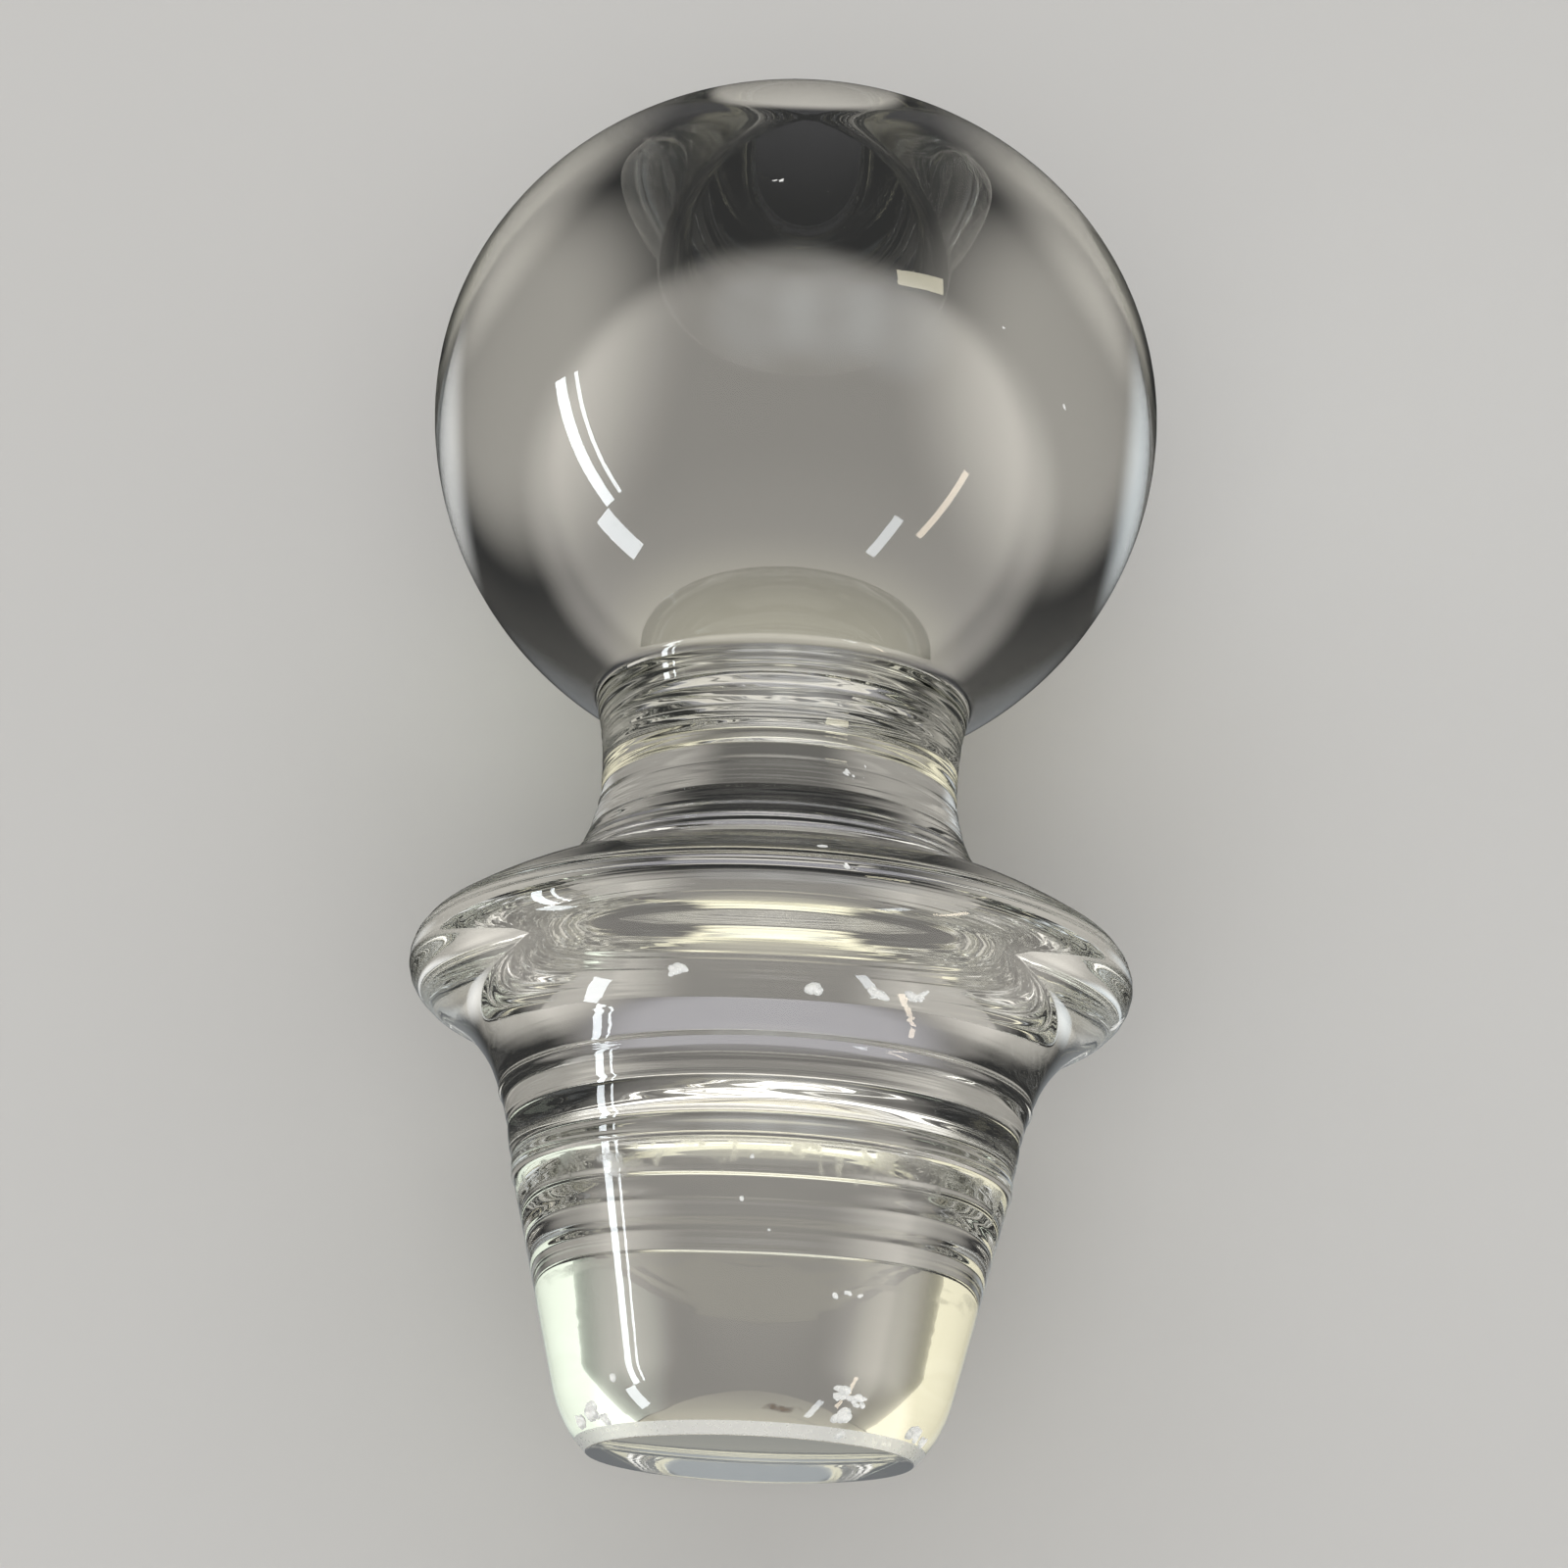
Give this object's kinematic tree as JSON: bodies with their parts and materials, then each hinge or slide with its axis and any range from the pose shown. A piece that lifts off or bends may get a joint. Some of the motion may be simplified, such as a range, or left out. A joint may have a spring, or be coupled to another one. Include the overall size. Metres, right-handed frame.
{
  "type": "glass stopper",
  "caption": "Solid clear glass stopper with a ball knob, a waisted neck, a lens-shaped collar and a ground taper plug that closes the neck of a decanter or bottle.",
  "frame": {"origin": "centre of the plug's flat end, on the stopper's axis", "axes": "+Z along the axis from the plug's flat end up to the knob; the part is round, so +X and +Y are free, and -Y faces the picture's camera"},
  "size_m": [0.05, 0.05, 0.0941],
  "materials": {
    "clear_glass": "fire-polished, with tooling rings at the neck and the cove and a polished ground taper"
  },
  "bodies": {
    "root": {"stopper": "clear_glass"}
  },
  "joints": []
}
